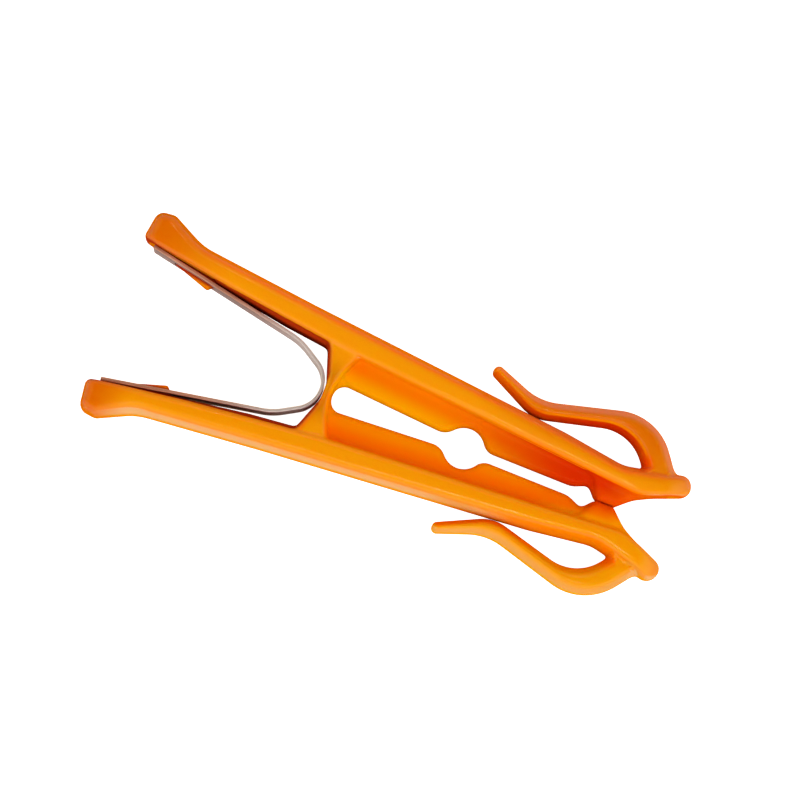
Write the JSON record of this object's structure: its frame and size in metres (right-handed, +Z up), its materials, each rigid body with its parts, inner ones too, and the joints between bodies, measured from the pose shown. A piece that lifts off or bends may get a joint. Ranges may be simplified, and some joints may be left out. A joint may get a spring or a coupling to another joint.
{
  "type": "spring clamp",
  "caption": "Small squeeze clamp with two moulded arms, a thin hinge, a bent steel strip spring, a round line grip and a springy hook outside each arm.",
  "frame": {"origin": "on the plane that the clamp lies on, under the middle of its box", "axes": "+X along the clamp from the handles to the jaws, +Y across the arms towards the upper arm, +Z up, along the hinge axis, with the clamp lying on its side"},
  "size_m": [0.0837, 0.0304, 0.01],
  "materials": {
    "moulding": "satin",
    "spring_steel": "satin"
  },
  "bodies": {
    "lower_arm": {"lower_arm": "moulding", "living_hinge": "moulding", "leaf_spring": "spring_steel"},
    "upper_arm": {"upper_arm": "moulding"},
    "lower_hook": {"lower_hook": "moulding"},
    "upper_hook": {"upper_hook": "moulding"}
  },
  "joints": [
    {"name": "squeeze", "type": "hinge", "parent": "lower_arm", "child": "upper_arm", "pos_m": [-0.01015, 0, 0.005], "axis": [0, 0, 1], "range_deg": [0, 35], "stiffness_Nm_per_rad": 0.25, "springref_deg": -40.11, "deforming": ["leaf_spring", "living_hinge"]},
    {"name": "upper_hook_lift", "type": "hinge", "parent": "upper_arm", "child": "upper_hook", "pos_m": [0.03879, 0.00772, 0.005], "axis": [0, 0, -1], "range_deg": [0, 8], "stiffness_Nm_per_rad": 1.5, "springref_deg": -1.72},
    {"name": "lower_hook_lift", "type": "hinge", "parent": "lower_arm", "child": "lower_hook", "pos_m": [0.03879, -0.00772, 0.005], "axis": [0, 0, 1], "range_deg": [0, 8], "stiffness_Nm_per_rad": 1.5, "springref_deg": -1.72}
  ]
}
